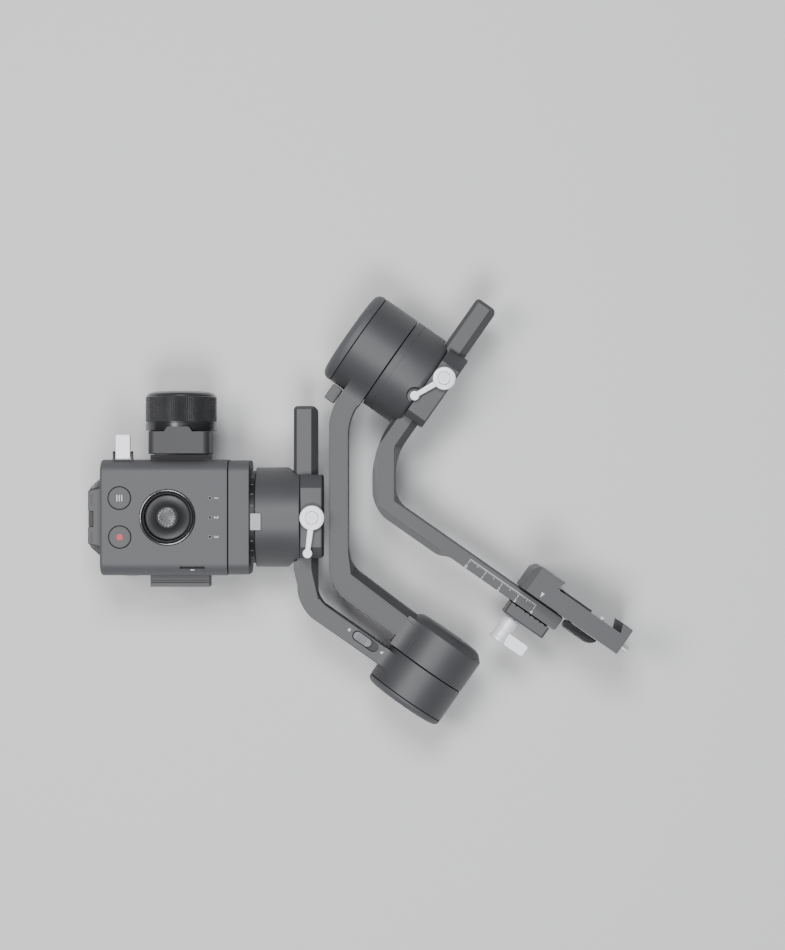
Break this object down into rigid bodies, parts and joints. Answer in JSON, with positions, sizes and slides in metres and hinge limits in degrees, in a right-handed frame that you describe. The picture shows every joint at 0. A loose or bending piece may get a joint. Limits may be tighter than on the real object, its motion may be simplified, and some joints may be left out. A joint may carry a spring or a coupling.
{
  "type": "camera gimbal",
  "caption": "Folded motorised camera stabiliser head: control unit with joystick and focus wheel, pan, roll and tilt motors, sliding arms and a clamping camera mount.",
  "frame": {"origin": "centre of the grip plug's tip face, on the pan axis", "axes": "+X along the pan axis towards the arms, +Y towards the focus wheel, +Z out of the joystick face"},
  "size_m": [0.2733, 0.2169, 0.0646],
  "materials": {
    "shell": "fine matte, dark grey moulded plastic",
    "alloy": "matte black anodised aluminium",
    "gloss": "glossy black plastic",
    "silver": "bright satin aluminium",
    "grey": "mid grey satin plastic",
    "steel": "turned steel",
    "copper": "wound copper and laminations",
    "board": "circuit board",
    "rubber": "matte black rubber",
    "window": "smoked light window"
  },
  "bodies": {
    "control_unit": {"front_shell": "shell", "back_shell": "shell", "control_board": "board", "status_window": "window", "grip_plug": "alloy", "grip_contacts": "steel", "grip_lever_hinge": "alloy", "joystick_bezel": "gloss", "joystick_sensor": "rubber", "trigger_pin": "steel", "focus_rail": "shell", "accessory_rail": "shell", "focus_base": "shell", "pan_collar": "shell", "pan_stator": "copper", "pan_bearing": "steel"},
    "grip_lever": {"grip_lever": "silver"},
    "joystick_ring": {"joystick_gimbal": "steel"},
    "joystick": {"joystick_cap": "gloss"},
    "mode_button": {"mode_button": "shell"},
    "record_button": {"record_button": "shell"},
    "power_button": {"power_button": "grey"},
    "trigger": {"trigger": "alloy"},
    "port_cover": {"port_cover": "rubber"},
    "focus_wheel": {"focus_wheel": "gloss", "focus_shaft": "steel"},
    "pan_head": {"pan_cover": "alloy", "pan_rotor": "steel", "pan_clamp_block": "alloy"},
    "pan_lock": {"pan_lock": "grey"},
    "pan_clamp_lever": {"pan_clamp_lever": "silver", "pan_clamp_screw": "silver"},
    "pan_arm": {"pan_arm": "alloy", "roll_motor_base": "alloy", "roll_motor_cap": "shell", "roll_stator": "copper", "roll_bearing": "steel"},
    "roll_lock": {"roll_lock": "shell"},
    "roll_arm": {"roll_motor_cover": "alloy", "roll_rotor": "steel", "roll_arm": "alloy", "tilt_motor_base": "alloy", "tilt_motor_cap": "shell", "tilt_stator": "copper", "tilt_bearing": "steel"},
    "tilt_lock": {"tilt_lock": "grey"},
    "tilt_head": {"tilt_motor_cover": "alloy", "tilt_rotor": "steel", "tilt_clamp_block": "alloy"},
    "tilt_clamp_lever": {"tilt_clamp_lever": "silver", "tilt_clamp_screw": "silver"},
    "tilt_arm": {"tilt_arm": "alloy"},
    "camera_mount": {"camera_mount": "alloy", "clamp_jaw": "alloy", "mount_pad": "rubber"},
    "clamp_knob": {"clamp_knob": "silver"},
    "dovetail_lever": {"dovetail_lever": "shell"},
    "lock_pin": {"lock_pin": "silver"},
    "stop_pin": {"stop_pin": "silver"}
  },
  "joints": [
    {"name": "grip_lever_fold", "type": "hinge", "parent": "control_unit", "child": "grip_lever", "pos_m": [0.0186, 0.0316, 0.0185], "axis": [-1, 0, 0], "range_deg": [0, 90]},
    {"name": "joystick_x", "type": "hinge", "parent": "control_unit", "child": "joystick_ring", "pos_m": [0.04115, 0.00015, 0.017], "axis": [1, 0, 0], "range_deg": [-10, 10], "stiffness_Nm_per_rad": 0.03},
    {"name": "joystick_y", "type": "hinge", "parent": "joystick_ring", "child": "joystick", "pos_m": [0.04115, 0.00015, 0.017], "axis": [0, 1, 0], "range_deg": [-10, 10], "stiffness_Nm_per_rad": 0.03},
    {"name": "mode_press", "type": "slide", "parent": "control_unit", "child": "mode_button", "axis": [0, 0, -1], "range_m": [0, 0.0008], "stiffness_N_per_m": 800},
    {"name": "record_press", "type": "slide", "parent": "control_unit", "child": "record_button", "axis": [0, 0, -1], "range_m": [0, 0.0008], "stiffness_N_per_m": 800},
    {"name": "power_press", "type": "slide", "parent": "control_unit", "child": "power_button", "axis": [0, 1, 0], "range_m": [0, 0.0008], "stiffness_N_per_m": 800},
    {"name": "trigger_pull", "type": "hinge", "parent": "control_unit", "child": "trigger", "pos_m": [0.0204, 0, -0.0284], "axis": [0, -1, 0], "range_deg": [0, 8], "stiffness_Nm_per_rad": 0.3},
    {"name": "port_cover_open", "type": "hinge", "parent": "control_unit", "child": "port_cover", "pos_m": [0.05355, -0.02845, 0.01758], "axis": [1, 0, 0], "range_deg": [0, 100]},
    {"name": "focus_spin", "type": "hinge", "parent": "control_unit", "child": "focus_wheel", "pos_m": [0.04635, 0.05, 0], "axis": [0, 1, 0], "continuous": true},
    {"name": "pan_motor", "type": "hinge", "parent": "control_unit", "child": "pan_head", "pos_m": [0.0924, 0, 0], "axis": [1, 0, 0], "continuous": true},
    {"name": "pan_lock_slide", "type": "slide", "parent": "pan_head", "child": "pan_lock", "axis": [1, 0, 0], "range_m": [0, 0.003]},
    {"name": "pan_lever", "type": "hinge", "parent": "pan_head", "child": "pan_clamp_lever", "pos_m": [0.1131, -0.0001, 0.023], "axis": [0, 0, 1], "range_deg": [0, 60]},
    {"name": "pan_arm_slide", "type": "slide", "parent": "pan_head", "child": "pan_arm", "axis": [0, 1, 0], "range_m": [-0.034, 0.01]},
    {"name": "roll_lock_slide", "type": "slide", "parent": "pan_arm", "child": "roll_lock", "axis": [0.8192, -0.5736, 0], "range_m": [0, 0.0035]},
    {"name": "roll_motor", "type": "hinge", "parent": "pan_arm", "child": "roll_arm", "pos_m": [0.1701, -0.0763, 0], "axis": [0.5736, 0.8192, 0], "continuous": true},
    {"name": "tilt_lock_slide", "type": "slide", "parent": "roll_arm", "child": "tilt_lock", "axis": [-0.5736, -0.8192, 0], "range_m": [0, 0.004]},
    {"name": "tilt_motor", "type": "hinge", "parent": "roll_arm", "child": "tilt_head", "pos_m": [0.1523, 0.0783, 0], "axis": [0.8192, -0.5736, 0], "continuous": true},
    {"name": "tilt_lever", "type": "hinge", "parent": "tilt_head", "child": "tilt_clamp_lever", "pos_m": [0.17901, 0.06937, 0.023], "axis": [0, 0, 1], "range_deg": [0, 60]},
    {"name": "tilt_arm_slide", "type": "slide", "parent": "tilt_head", "child": "tilt_arm", "axis": [0.5736, 0.8192, 0], "range_m": [-0.01, 0.008]},
    {"name": "camera_slide", "type": "slide", "parent": "tilt_arm", "child": "camera_mount", "axis": [0.8192, -0.5736, 0], "range_m": [-0.038, 0.002]},
    {"name": "knob_turn", "type": "hinge", "parent": "camera_mount", "child": "clamp_knob", "pos_m": [0.22248, -0.03907, 0], "axis": [0.5736, 0.8192, 0], "continuous": true},
    {"name": "dovetail_lever_turn", "type": "hinge", "parent": "camera_mount", "child": "dovetail_lever", "pos_m": [0.24116, -0.05336, 0.0138], "axis": [-0.5736, -0.8192, 0], "range_deg": [0, 90]},
    {"name": "lock_pin_pull", "type": "slide", "parent": "camera_mount", "child": "lock_pin", "axis": [0.8192, -0.5736, 0], "range_m": [0, 0.003], "stiffness_N_per_m": 300},
    {"name": "stop_pin_press", "type": "slide", "parent": "camera_mount", "child": "stop_pin", "axis": [-0.5736, -0.8192, 0], "range_m": [0, 0.0012], "stiffness_N_per_m": 300}
  ]
}
